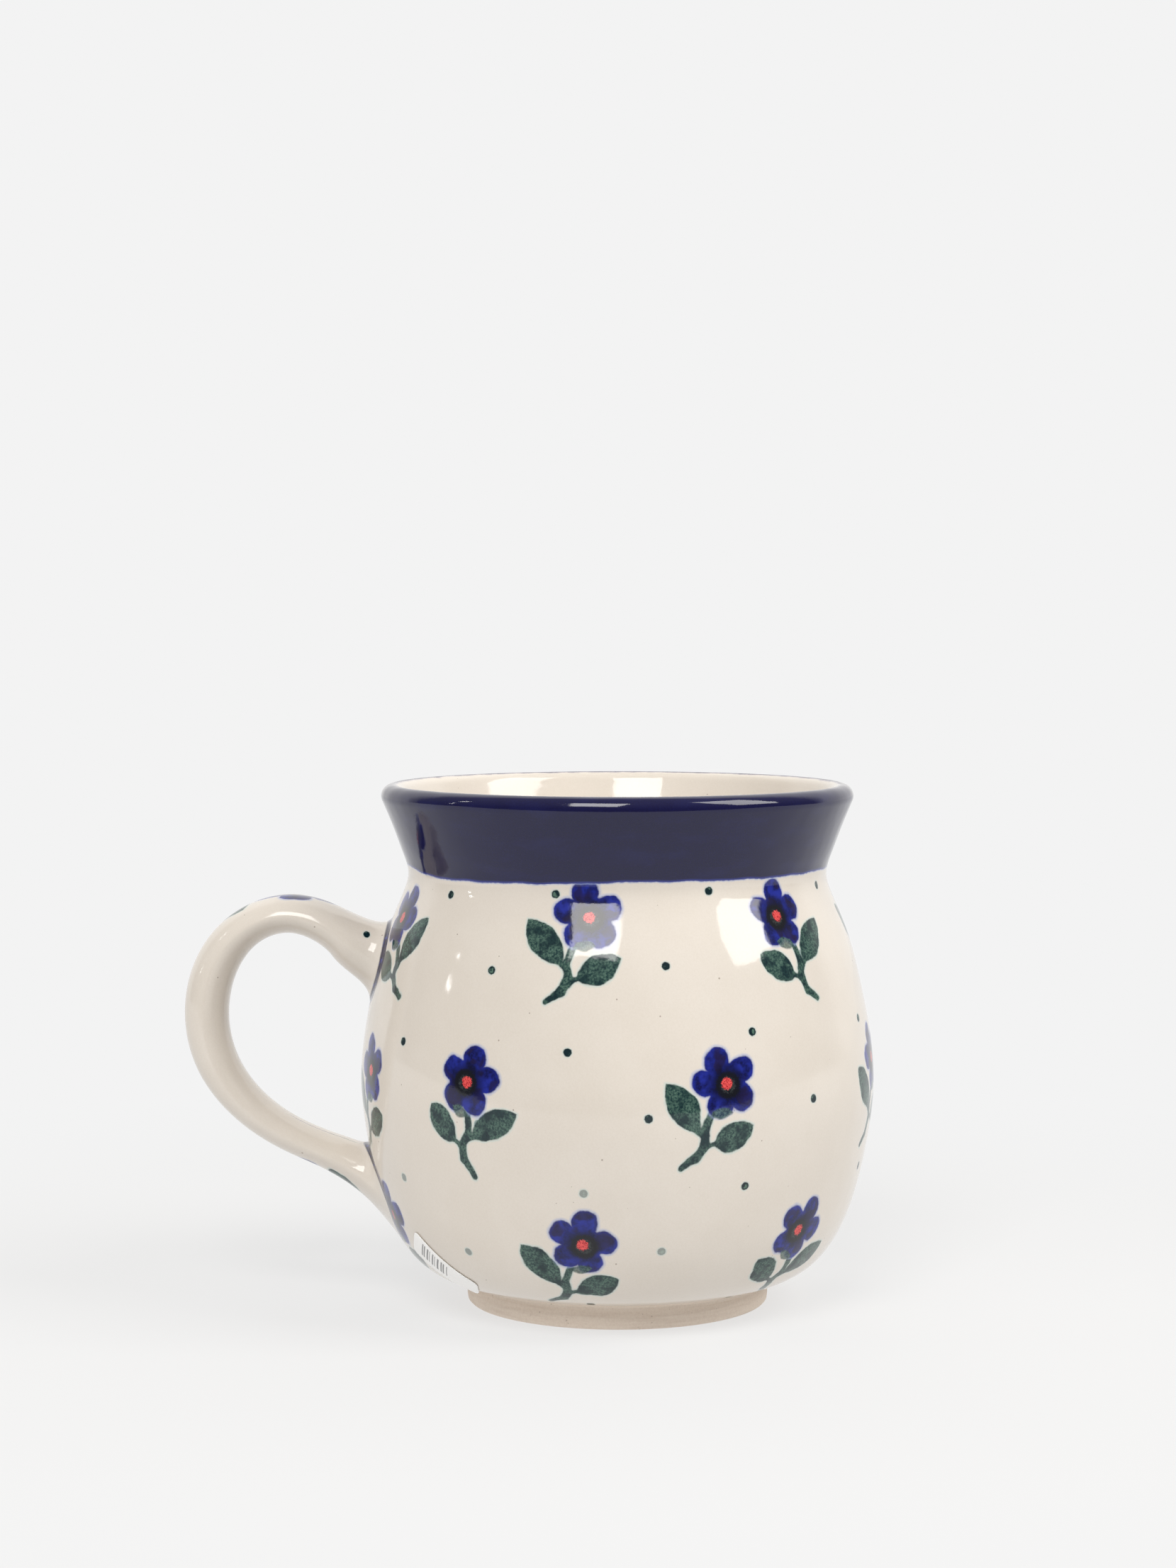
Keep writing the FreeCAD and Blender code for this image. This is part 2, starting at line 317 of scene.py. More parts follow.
class Graph:
    """A material whose nodes are added one by one."""

    def __init__(self, name):
        self.material = bpy.data.materials.new(name)
        self.material.use_nodes = True
        self.nodes = self.material.node_tree.nodes
        self.links = self.material.node_tree.links
        self.shader = self.nodes["Principled BSDF"]

    def node(self, kind, inputs=(), output=0, **settings):
        """One node with its settings and inputs, and one of its outputs as a signal."""
        made = self.nodes.new(kind)
        for key, value in settings.items():
            setattr(made, key, value)
        for key, value in dict(inputs).items():
            self.feed(made.inputs[key], value)
        return Signal(self, made.outputs[output])

    def feed(self, socket, value):
        if isinstance(value, Signal):
            self.links.new(value.socket, socket)
        else:
            socket.default_value = value

    def math(self, operation, *values, clamp=False):
        return self.node("ShaderNodeMath", enumerate(values), operation=operation, use_clamp=clamp)

    def vector(self, operation, *values, output="Vector"):
        return self.node("ShaderNodeVectorMath", enumerate(values), output, operation=operation)

    def blend_smallest(self, first, second, softness):
        return self.math("SMOOTH_MIN", first, second, softness)

    def ramp(self, value, start, end):
        """0 where value is start, 1 where it is end, and smooth between."""
        inputs = {"Value": value, "From Min": start, "From Max": end}
        return self.node("ShaderNodeMapRange", inputs, interpolation_type="SMOOTHSTEP")

    def spread(self, value, low, high):
        """A value from 0 to 1, moved to run from low to high."""
        return self.node("ShaderNodeMapRange", {"Value": value, "To Min": low, "To Max": high})

    def mix(self, factor, first, second, blend="MIX"):
        made = self.nodes.new("ShaderNodeMix")
        made.data_type = "RGBA"
        made.blend_type = blend
        for index, value in ((0, factor), (6, first), (7, second)):
            self.feed(made.inputs[index], value)
        return Signal(self, made.outputs[2])

    def noise(self, where, scale, detail=2.0, roughness=0.5, output="Factor"):
        inputs = {"Vector": where, "Scale": scale, "Detail": detail, "Roughness": roughness}
        return self.node("ShaderNodeTexNoise", inputs, 1 if output == "Color" else 0)

    def attribute(self, name, output="Vector"):
        return self.node("ShaderNodeAttribute", output={"Color": 0, "Vector": 1, "Factor": 2}[output],
                         attribute_name=name)

    def place(self):
        """Where a point is on the object, in millimetres."""
        return self.scaled(self.node("ShaderNodeTexCoord", output=3), 1 / MM)

    def scaled(self, vector, factor):
        made = self.nodes.new("ShaderNodeVectorMath")
        made.operation = "SCALE"
        self.feed(made.inputs[0], vector)
        self.feed(made.inputs["Scale"], factor)
        return Signal(self, made.outputs[0])

    def jittered(self, vector, where, scale, amount):
        """A vector pushed about by noise, by up to about half of amount each way."""
        push = self.vector("SUBTRACT", self.noise(where, scale, output="Color"), (0.5, 0.5, 0.5))
        return self.vector("ADD", vector, self.scaled(push, amount))

    def bump(self, height, distance, strength=1.0, under=None):
        """A normal bent by a height of 0 to 1 that stands for a distance in millimetres."""
        inputs = {"Height": height, "Distance": distance * MM, "Strength": strength}
        if under is not None:
            inputs["Normal"] = under
        return self.node("ShaderNodeBump", inputs)

    def finish(self, **inputs):
        """Feeds the surface shader, with underscores for the spaces in its socket names."""
        for key, value in inputs.items():
            self.feed(self.shader.inputs[key.replace("_", " ")], value)
        return self.material


def srgb(red, green, blue):
    """A colour given as screen values of 0 to 255, in the linear light that shaders use."""
    def linear(value):
        value /= 255
        return value / 12.92 if value <= 0.04045 else ((value + 0.055) / 1.055) ** 2.4
    return (linear(red), linear(green), linear(blue), 1.0)


# Colours, as screen values

CREAM = srgb(224, 216, 206)
CREAM_DARK = srgb(212, 202, 189)
SPECK = srgb(120, 100, 84)
COBALT = srgb(10, 8, 56)
COBALT_THIN = srgb(48, 58, 140)
BLUE_DEEP = srgb(3, 8, 66)
BLUE_LIGHT = srgb(30, 42, 142)
BLUE_NIGHT = srgb(2, 4, 34)
PLUM = srgb(28, 20, 56)
BLUE_BLEED = srgb(150, 165, 208)
GREEN_LIGHT = srgb(84, 113, 100)
GREEN_DARK = srgb(20, 50, 52)
GREEN_NIGHT = srgb(10, 36, 42)
GREEN_BLEED = srgb(186, 206, 202)
HALO = srgb(12, 14, 20)
HALO_LIGHT = srgb(60, 66, 64)
RED = srgb(226, 86, 84)
RED_DARK = srgb(170, 36, 46)
CLAY = srgb(230, 216, 201)
CLAY_DARK = srgb(214, 197, 181)
PAPER = srgb(250, 249, 247)
PRINT = srgb(84, 84, 88)

# The flower stamp, in millimetres from the flower's red centre, with the stem's end below it.
PETALS = [(97, 4.25, 2.35), (23, 3.65, 2.35), (161, 4.05, 2.35), (235, 3.65, 2.4), (303, 3.55, 2.45)]
FLOWER_DISC = 3.7
STEM = [(-2.7, -4.8), (-4.1, -7.8), (-4.0, -10.6), (-5.3, -12.7), (-8.1, -14.4)]
STEM_WIDTHS = [1.4, 1.35, 1.75, 1.6, 1.1]
LEAVES = [((-4.9, -8.1), (-11.0, 0.3), 5.2), ((-2.4, -10.8), (5.2, -7.6), 5.1)]
PETIOLES = [((-4.2, -9.4), (-5.9, -7.2)), ((-3.9, -10.8), (-1.4, -10.3))]
CALYX = ((-3.0, -5.3), (1.1, -4.9), 2.0)
HALO_MIDDLE = (0.25, -0.3)
HALO_RADIUS = 2.45
CORE_RADIUS = 1.02
DOT_RADIUS = 0.74
GLOSS = 0.07


def flat(x, y):
    return (x, y, 0.0)


def leaf_distance(graph, place, base, tip, width):
    """Distance outside a leaf that is pointed at both ends."""
    length = math.dist(base, tip)
    radius = (length ** 2 + width ** 2) / (4 * width)
    middle = flat((base[0] + tip[0]) / 2, (base[1] + tip[1]) / 2)
    turn = math.atan2(tip[1] - base[1], tip[0] - base[0])
    inputs = {"Vector": place, "Location": middle, "Rotation": (0.0, 0.0, turn)}
    local = graph.node("ShaderNodeMapping", inputs, vector_type="TEXTURE")
    folded = graph.vector("ABSOLUTE", local)
    return graph.vector("DISTANCE", folded, flat(0, width / 2 - radius), output="Value") - radius


def stroke_distance(graph, place, start, end, width_start, width_end):
    """Distance outside a brush stroke that changes width along its length."""
    run = (end[0] - start[0], end[1] - start[1])
    size = run[0] ** 2 + run[1] ** 2
    offset = graph.vector("SUBTRACT", place, flat(*start))
    dot = graph.vector("DOT_PRODUCT", offset, flat(run[0] / size, run[1] / size), output="Value")
    along = graph.math("ADD", dot, 0.0, clamp=True)
    nearest = graph.vector("MULTIPLY_ADD", flat(*run), along, flat(*start))
    gap = graph.vector("DISTANCE", place, nearest, output="Value")
    return gap - (along * ((width_end - width_start) / 2) + width_start / 2)


def green_distance(graph, place):
    """Distance outside the stem and its two leaves."""
    parts = [leaf_distance(graph, place, *leaf) for leaf in LEAVES]
    parts += [stroke_distance(graph, place, *ends, 0.9, 0.9) for ends in PETIOLES]
    stem = zip(STEM, STEM[1:], STEM_WIDTHS, STEM_WIDTHS[1:])
    parts += [stroke_distance(graph, place, *piece) for piece in stem]
    whole = parts[0]
    for part in parts[1:]:
        whole = graph.blend_smallest(whole, part, 0.5)
    return whole


def flower_distance(graph, place):
    """Distance outside the five round petals."""
    whole = graph.vector("LENGTH", place, output="Value") - FLOWER_DISC
    for degrees, reach, radius in PETALS:
        middle = flat(reach * math.cos(math.radians(degrees)), reach * math.sin(math.radians(degrees)))
        petal = graph.vector("DISTANCE", place, middle, output="Value") - radius
        whole = graph.blend_smallest(whole, petal, 0.35)
    return whole


def glaze_ground(graph, place):
    """The cream ground: a fine grain, faint clouds and a few iron specks."""
    grain = graph.ramp(graph.noise(place, 3.2, 3.0, 0.7), 0.3, 0.75)
    clouds = graph.ramp(graph.noise(place, 0.09, 2.0), 0.3, 0.7)
    colour = graph.mix(grain * 0.3 + clouds * 0.2, CREAM, CREAM_DARK)
    cells = graph.node("ShaderNodeTexVoronoi", {"Vector": place, "Scale": 0.4})
    cell_colour = Signal(graph, cells.socket.node.outputs["Color"])
    random = graph.node("ShaderNodeSeparateColor", {"Color": cell_colour})
    size = graph.ramp(random, 0.5, 1.0) * 0.07
    speck = graph.ramp(cells - size, 0.012, -0.012)
    return graph.mix(speck * 0.6, colour, SPECK)


def stamp_sprig(graph, ground, place):
    """Lays a stamped flower with its stem and leaves over a ground colour."""
    stamp = graph.attribute("sprig")
    seed = graph.node("ShaderNodeSeparateXYZ", {"Vector": stamp}, 2)
    local = graph.vector("MULTIPLY", stamp, (1.0, 1.0, 0.0))
    rough = graph.vector("MULTIPLY", graph.jittered(local, place, 0.28, 1.3), (1.0, 1.0, 0.0))
    rough = graph.vector("MULTIPLY", graph.jittered(rough, place, 2.4, 0.18), (1.0, 1.0, 0.0))
    sponge = graph.ramp(graph.noise(place, 2.6, 3.0, 0.65), 0.34, 0.68)
    patches = graph.noise(place, 0.42, 2.0)

    green = green_distance(graph, rough)
    leaf = graph.mix(sponge, GREEN_DARK, GREEN_LIGHT)
    leaf = graph.mix(graph.ramp(patches, 0.42, 0.66), leaf, graph.mix(sponge, GREEN_NIGHT, GREEN_DARK))
    colour = graph.mix(graph.ramp(green, 0.5, 0.05) * 0.55, ground, GREEN_BLEED)
    colour = graph.mix(graph.ramp(green, 0.14, -0.16), colour, leaf)

    spin = graph.spread(graph.math("FRACT", seed * 7.31), -0.35, 0.35)
    turned_place = graph.node(
        "ShaderNodeVectorRotate", {"Vector": rough, "Angle": spin}, rotation_type="Z_AXIS")
    petals = flower_distance(graph, turned_place)
    reach = graph.vector("LENGTH", rough, output="Value")
    wash = graph.ramp(graph.noise(place, 0.55, 2.0), 0.36, 0.66)
    blue = graph.mix(wash, BLUE_DEEP, BLUE_LIGHT)
    blue = graph.mix(graph.math("MULTIPLY", sponge, 0.35), blue, BLUE_LIGHT)
    blue = graph.mix(graph.ramp(graph.noise(place, 0.33, 1.0), 0.52, 0.6) * 0.75, blue, PLUM)
    blue = graph.mix(graph.ramp(reach, 4.3, 2.0) * 0.8, blue, BLUE_NIGHT)
    blue = graph.mix(graph.ramp(petals, -0.75, -0.2) * 0.35, blue, BLUE_LIGHT)
    colour = graph.mix(graph.ramp(petals, 0.6, 0.05) * 0.55, colour, BLUE_BLEED)
    colour = graph.mix(graph.ramp(petals, 0.16, -0.2), colour, blue)

    calyx = leaf_distance(graph, rough, *CALYX)
    green = graph.mix(sponge, GREEN_DARK, GREEN_LIGHT)
    colour = graph.mix(graph.ramp(calyx, 0.12, -0.25) * 0.85, colour, green)

    fine = graph.vector("MULTIPLY", graph.jittered(local, place, 3.4, 0.9), (1.0, 1.0, 0.0))
    halo = graph.vector("DISTANCE", fine, flat(*HALO_MIDDLE), output="Value") - HALO_RADIUS
    dark = graph.mix(graph.ramp(halo, -0.8, -1.3) * sponge, HALO, HALO_LIGHT)
    colour = graph.mix(graph.ramp(halo, 0.25, -0.45) * 0.94, colour, dark)
    core = graph.vector("LENGTH", fine, output="Value") - CORE_RADIUS
    red = graph.mix(graph.ramp(graph.noise(place, 4.5, 2.0), 0.45, 0.62), RED, RED_DARK)
    return graph.mix(graph.ramp(core, 0.12, -0.18), colour, red)


def stamp_dot(graph, ground, place):
    """Lays the small green dots over a ground colour."""
    stamp = graph.attribute("dot")
    seed = graph.node("ShaderNodeSeparateXYZ", {"Vector": stamp}, 2)
    local = graph.jittered(graph.vector("MULTIPLY", stamp, (1.0, 1.0, 0.0)), place, 2.0, 0.25)
    flat_local = graph.vector("MULTIPLY", local, (1.0, 1.0, 0.0))
    gap = graph.vector("LENGTH", flat_local, output="Value") - DOT_RADIUS
    pale = graph.ramp(graph.noise(place, 1.1, 2.0), 0.5, 0.62)
    ink = graph.mix(pale * graph.ramp(gap, -0.1, -0.4), GREEN_NIGHT, GREEN_LIGHT)
    strength = graph.spread(graph.ramp(seed, 0.2, 0.3), 0.55, 1.0)
    colour = graph.mix(graph.ramp(gap, 0.35, 0.02) * 0.5, ground, GREEN_BLEED)
    return graph.mix(graph.ramp(gap, 0.1, -0.12) * strength, colour, ink)


def brush_lines(graph, ground, place):
    """Cobalt painted round the handle's roots, the band's soft edge, and bare clay near the foot."""
    waver = graph.noise(place, 0.25, 2.0) - 0.5
    joint = graph.attribute("joint_gap", "Factor")
    line = graph.math("ABSOLUTE", joint + 0.7 - waver * 0.9) - 1.0 - waver * 0.6
    paint = graph.mix(graph.ramp(graph.noise(place, 0.9, 2.0), 0.5, 0.75), COBALT, COBALT_THIN)
    colour = graph.mix(graph.ramp(line, 0.3, -0.15) * 0.92, ground, paint)
    band = graph.attribute("band_gap", "Factor") + (graph.noise(place, 1.3, 2.0) - 0.5) * 0.35
    colour = graph.mix(graph.ramp(band, 0.42, 0.1) * 0.6, colour, BLUE_BLEED)
    colour = graph.mix(graph.ramp(band, 0.2, 0.0) * 0.85, colour, COBALT_THIN)
    foot = graph.attribute("foot_gap", "Factor") + (graph.noise(place, 0.5, 2.0) - 0.5) * 0.8
    return graph.mix(graph.ramp(foot, 1.3, 0.1) * 0.75, colour, CLAY)


def glaze_surface(graph, place):
    """The small relief of a poured glaze."""
    swell = graph.bump(graph.noise(place, 0.16, 1.0), 0.10)
    return graph.bump(graph.noise(place, 1.6, 2.0), 0.006, under=swell)


def decorated_glaze(name):
    graph = Graph(name)
    place = graph.place()
    colour = stamp_sprig(graph, stamp_dot(graph, glaze_ground(graph, place), place), place)
    colour = brush_lines(graph, colour, place)
    return graph.finish(Base_Color=colour, Roughness=GLOSS, IOR=1.5, Normal=glaze_surface(graph, place))


def lining_glaze():
    graph = Graph("lining_glaze")
    place = graph.place()
    crest = graph.attribute("crest_gap", "Factor") + (graph.noise(place, 0.35, 2.0) - 0.5) * 0.9
    colour = graph.mix(graph.ramp(crest, 1.1, 0.2), glaze_ground(graph, place), srgb(96, 88, 120))
    colour = graph.mix(graph.ramp(crest, 0.55, 0.1), colour, COBALT)
    return graph.finish(Base_Color=colour, Roughness=GLOSS, IOR=1.5, Normal=glaze_surface(graph, place))


def cobalt_glaze():
    graph = Graph("cobalt_glaze")
    place = graph.place()
    streaked = graph.vector("MULTIPLY", place, (1.0, 1.0, 3.0))
    thin = graph.ramp(graph.noise(streaked, 0.12, 3.0), 0.45, 0.75)
    colour = graph.mix(thin * 0.07, COBALT, COBALT_THIN)
    grain = graph.ramp(graph.noise(place, 3.0, 2.0), 0.4, 0.8)
    colour = graph.mix(grain * 0.05, colour, COBALT_THIN)
    edge = graph.attribute("band_gap", "Factor")
    colour = graph.mix(graph.ramp(edge, 0.45, 0.0) * 0.8, colour, COBALT_THIN)
    return graph.finish(Base_Color=colour, Roughness=GLOSS, IOR=1.52, Normal=glaze_surface(graph, place))


def bare_clay():
    graph = Graph("bare_clay")
    place = graph.place()
    grain = graph.ramp(graph.noise(place, 2.2, 4.0, 0.7), 0.35, 0.7)
    rings = graph.noise(graph.vector("MULTIPLY", place, (0.1, 0.1, 1.6)), 1.0, 3.0)
    colour = graph.mix(grain * 0.5 + graph.ramp(rings, 0.4, 0.7) * 0.4, CLAY, CLAY_DARK)
    pits = graph.ramp(graph.noise(place, 1.4, 2.0), 0.68, 0.76)
    colour = graph.mix(pits * 0.5, colour, SPECK)
    relief = graph.bump(rings, 0.12, under=graph.bump(graph.noise(place, 3.0, 3.0), 0.04))
    return graph.finish(Base_Color=colour, Roughness=0.78, IOR=1.45, Normal=relief)


def label_paper():
    graph = Graph("label_paper")
    place = graph.place()
    fibre = graph.noise(place, 4.0, 3.0)
    printed = graph.attribute("print")
    across = graph.node("ShaderNodeSeparateXYZ", {"Vector": printed}, 0)
    along = graph.node("ShaderNodeSeparateXYZ", {"Vector": printed}, 1)
    bars = graph.noise(graph.vector("MULTIPLY", printed, (0.0, 1.0, 0.0)), 2.4, 0.0)
    inside = graph.ramp(graph.math("ABSOLUTE", across - 0.4), 2.1, 2.0) * graph.ramp(along, 2.4, 2.5)
    inside = inside * graph.ramp(along, 8.6, 8.5)
    colour = graph.mix(graph.ramp(bars, 0.52, 0.54) * inside * 0.75, PAPER, PRINT)
    return graph.finish(Base_Color=colour, Roughness=0.55, IOR=1.4, Normal=graph.bump(fibre, 0.01))


# The pot

AZIMUTHS = np.linspace(-math.pi, math.pi, COLUMNS, endpoint=False)
UNDER_GLAZE = GLAZE + 0.02

# Where the cobalt band's painted edge runs: azimuth and height.
BAND_EDGE = [
    (-180, 0.1), (-130, 0.4), (-73, 0.7), (-59, -0.5), (-40, -0.5), (-15, -0.2), (2, 0.3),
    (20, 0.25), (45, 0.1), (70, 0.3), (110, -0.3), (150, 0.2), (180, 0.1),
]

lip = (LIP_MIDDLE, LIP_CENTRE)
outer_side = smooth_curve(OUTSIDE, 0.1)
inner_side = smooth_curve(INSIDE, 0.1)[::-1]
outer_lip = circle_arc(lip, LIP_RADIUS, -LIP_LEAN, math.pi / 2, 0.05)
inner_lip = circle_arc(lip, LIP_RADIUS, math.pi / 2, math.pi - LIP_LEAN, 0.05)
outer = Outline(joined(outer_side, outer_lip))
inner = Outline(joined(inner_lip, inner_side, np.linspace(INSIDE[0], (0.05, INSIDE[0][1]), 200)))


def band_edge():
    """How far up the wall the cobalt starts, at each azimuth."""
    places = np.radians([azimuth for azimuth, _ in BAND_EDGE])
    waver = 0.06 * np.sin(23 * AZIMUTHS) + 0.04 * np.sin(41 * AZIMUTHS + 1)
    offsets = np.interp(AZIMUTHS, places, [offset for _, offset in BAND_EDGE])
    smooth = np.convolve(np.concatenate([offsets] * 3), np.ones(15) / 15, "same")[COLUMNS:2 * COLUMNS]
    return outer.reach(BAND_BOTTOM + smooth + waver)


def shares(start, end, step):
    """Rows of distances from start to end, each of which may change with azimuth."""
    span = np.asarray(end) - start
    count = max(2, round(float(np.max(span)) / step))
    return start + np.linspace(0, 1, count + 1)[:, None] * span


def root_gap(azimuth, height, radius):
    """Distance on the wall outside the nearer of the handle's two roots."""
    sideways = (azimuth + math.pi / 2) * radius
    gaps = []
    for middle, half_height, half_width in (UPPER_ROOT, LOWER_ROOT):
        ratio = np.hypot(sideways / half_width, (height - middle) / half_height)
        gaps.append((1 - 1 / np.maximum(ratio, 0.05)) * np.hypot(sideways, height - middle))
    return np.minimum(*gaps)


def stamp_layer(across, along, stamps, middle, reach):
    """For each face corner, its place in the stamp nearest to its face, and that stamp's seed.

    across gives a corner's angle round the form and its radius there, and along how far up it is.
    """
    angle, radius = across
    best = np.full(len(along), np.inf)
    layer = np.zeros(along.shape + (3,))
    for stamp_angle, stamp_along, turn, mirror, seed in stamps:
        sideways = ((angle - math.radians(stamp_angle) + math.pi) % TAU - math.pi) * radius
        upwards = along - stamp_along
        cosine, sine = math.cos(math.radians(turn)), math.sin(math.radians(turn))
        right = mirror * (sideways * cosine + upwards * sine)
        up = upwards * cosine - sideways * sine
        distance = np.hypot((right[:, 0] - middle[0]) / reach[0], (up[:, 0] - middle[1]) / reach[1])
        nearer = distance < best
        layer[nearer] = np.stack([right, up, np.full_like(up, seed)], axis=-1)[nearer]
        best = np.minimum(best, distance)
    return layer


def stamp_layers(across, along, sprigs, dots):
    return {
        "sprig": stamp_layer(across, along, sprigs, (-1.8, -4.0), (8.2, 11.0)),
        "dot": stamp_layer(across, along, dots, (0.0, 0.0), (1.0, 1.0)),
    }


def wall_stamps():
    """The pot's flowers and dots; the dots on the far side repeat those that face the camera."""
    sprigs = [(azimuth, outer.reach(height), turn, mirror, number * 0.618 % 1)
              for number, (azimuth, height, turn, mirror) in enumerate(SPRIGS)]
    dots = [(azimuth, outer.reach(height), 0, 1, strength)
            for places, strength in ((DARK_DOTS, 1.0), (FAINT_DOTS, 0.0)) for azimuth, height in places]
    far = [((dot[0] + 360) % 360 - 180,) + dot[1:] for dot in dots if abs(dot[0]) < 76]
    return sprigs, dots + far


def decorated_wall():
    """The cream glaze with its stamps, from the crease over the foot up to the cobalt band."""
    rows = shares(0.0, band_edge(), ROW_STEP)
    front = turned(outer, rows, AZIMUTHS)
    back_rows = rows[::8] if (len(rows) - 1) % 8 == 0 else np.concatenate([rows[:-1:8], rows[-1:]])
    back = turned(outer.inset(GLAZE), back_rows, AZIMUTHS)
    points, faces, normals = shell(front, back)
    along = np.concatenate([rows, back_rows[::-1]])
    azimuth = np.broadcast_to(AZIMUTHS, along.shape)
    radius, height = outer.radius(along), outer.height(along)
    across = (azimuth.ravel()[faces], radius.ravel()[faces])
    corner_data = stamp_layers(across, along.ravel()[faces], *wall_stamps())
    point_data = {
        "joint_gap": root_gap(azimuth, height, radius),
        "band_gap": band_edge() - along,
        "foot_gap": along,
    }
    piece = make_piece("decorated_wall", points, faces, normals, decorated_glaze("decorated_glaze"),
                       corner_data, point_data)
    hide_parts("outer_glaze")


def cobalt_band():
    """The glossy cobalt band, from its painted edge up to the lip's crest."""
    rows = shares(band_edge(), outer.length, 0.3)
    back_rows = rows[::3] if (len(rows) - 1) % 3 == 0 else np.concatenate([rows[:-1:3], rows[-1:]])
    back = turned(outer.inset(GLAZE), back_rows, AZIMUTHS)
    points, faces, normals = shell(turned(outer, rows, AZIMUTHS), back)
    along = np.concatenate([rows, back_rows[::-1]])
    piece = make_piece("cobalt_band", points, faces, normals, cobalt_glaze(),
                       point_data={"band_gap": along - band_edge()})
    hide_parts("rim_band")


def lining():
    """The cream glaze inside, from the lip's crest down to the middle of the floor."""
    rows = shares(0.0, inner.length, ROW_STEP) + 0 * AZIMUTHS
    back_rows = rows[::6] if (len(rows) - 1) % 6 == 0 else np.concatenate([rows[:-1:6], rows[-1:]])
    back = turned(inner.inset(GLAZE), back_rows, AZIMUTHS)
    points, faces, normals = shell(turned(inner, rows, AZIMUTHS), back)
    piece = make_piece("lining", points, faces, normals, lining_glaze(),
                       point_data={"crest_gap": np.concatenate([rows, back_rows[::-1]])})
    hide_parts("inner_glaze")


def thrown_pot():
    """The clay itself, which shows at the foot ring and underneath."""
    recess, ring_inside = 2.0, FOOT_RADIUS - 4.4
    underside = np.linspace((0.05, recess), (ring_inside - 1.0, recess), 40)
    step = circle_arc((ring_inside - 1.0, recess - 1.0), 1.0, math.pi / 2, 0, 0.1)
    ring = circle_arc((ring_inside + 0.5, 0.5), 0.5, math.pi, 1.5 * math.pi, 0.1)
    edge = circle_arc((FOOT_RADIUS - 0.7, 0.7), 0.7, -math.pi / 2, 0, 0.1)
    neck = smooth_curve([(FOOT_RADIUS, 0.75), (FOOT_RADIUS + 0.1, 2.4), (FOOT_RADIUS - 0.1, 3.9)], 0.2)
    outside = outer.inset(UNDER_GLAZE).points
    inside = inner.inset(UNDER_GLAZE).points
    line = Outline(np.concatenate([underside, step[1:], ring, edge, neck, outside[5:], inside[1:]]))
    rows = shares(0.0, line.length, 0.5) + 0 * AZIMUTHS
    points = turned(line, rows, AZIMUTHS)
    faces = grid_faces(len(points) + 1, COLUMNS, True) % (len(points) * COLUMNS)
    normals = normals_of(points, True)
    piece = make_piece("thrown_pot", points.reshape(-1, 3), faces, normals.reshape(-1, 3),
                       bare_clay())
    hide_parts("stoneware_body")


# The handle

# Stamps along the handle: reach and height, angle round from its outer middle, turn, mirror, seed.
HANDLE_SPRIGS = [(60.0, 71.0, -22, 0, 1, 0.4), (57.0, 28.8, -11, 16, 1, 0.7)]
HANDLE_DOTS = [(46.2, 66.0, 58, 0, 1, 1.0)]


def strap_rings():
    """The strap's rings from the upper joint round to the lower one: rows by columns of points."""
    line = smooth_curve(STRAP, HANDLE_STEP)
    first = np.argmin(np.linalg.norm(line[:, :2] - STRAP[STRAP_FROM][:2], axis=1))
    last = np.argmin(np.linalg.norm(line[:, :2] - STRAP[STRAP_TO][:2], axis=1))
    run = np.gradient(line[:, :2], axis=0)
    run /= np.linalg.norm(run, axis=1, keepdims=True)
    line, run = line[first:last + 1], run[first:last + 1]
    angle = np.linspace(0, TAU, RING_POINTS, endpoint=False)
    side = np.sign(np.cos(angle)) * np.abs(np.cos(angle)) ** (2 / OVAL_POWER)
    up = np.sign(np.sin(angle)) * np.abs(np.sin(angle)) ** EDGE_POWER
    reach, height, thickness, width = (column[:, None] for column in line.T)
    out_by = (thickness / 2 + GLAZE) * up
    x = -reach + run[:, 1:] * out_by
    y = -(width / 2 + GLAZE) * side
    return np.stack([x, y + 0 * x, height + run[:, :1] * out_by], axis=-1), side, up


def wall_point(root, side, up, scale, depth):
    """Where a root's outline meets the wall, for a share of its half height and half width."""
    middle, half_height, half_width = root
    height = middle + half_height * up * scale
    along = outer.reach(height)
    azimuth = -math.pi / 2 + half_width * side * scale / outer.radius(along)
    radius = outer.radius(along) + wobble(azimuth, height) - depth
    return np.stack([radius * np.sin(azimuth), -radius * np.cos(azimuth), height], axis=-1)


def joint_rows(ring, beyond, root, side, up):
    """Rows that spread smoothly from a strap ring on to the wall, and end just inside it."""
    wall = wall_point(root, side, up, 1.0, 0.08)
    leave = ring - beyond
    leave /= np.linalg.norm(leave, axis=-1, keepdims=True)
    land = wall_point(root, side, up, 1.04, 0.08) - wall
    land /= np.linalg.norm(land, axis=-1, keepdims=True)
    pull = 0.42 * np.linalg.norm(wall - ring, axis=-1, keepdims=True)
    t = np.linspace(0, 1, FILLET_ROWS + 1)[1:, None, None]
    rows = (
        (1 - t) ** 3 * ring + 3 * t * (1 - t) ** 2 * (ring + leave * pull)
        + 3 * t ** 2 * (1 - t) * (wall - land * pull) + t ** 3 * wall
    )
    return np.concatenate([rows, wall_point(root, side, up, 1.0, 0.9)[None]])


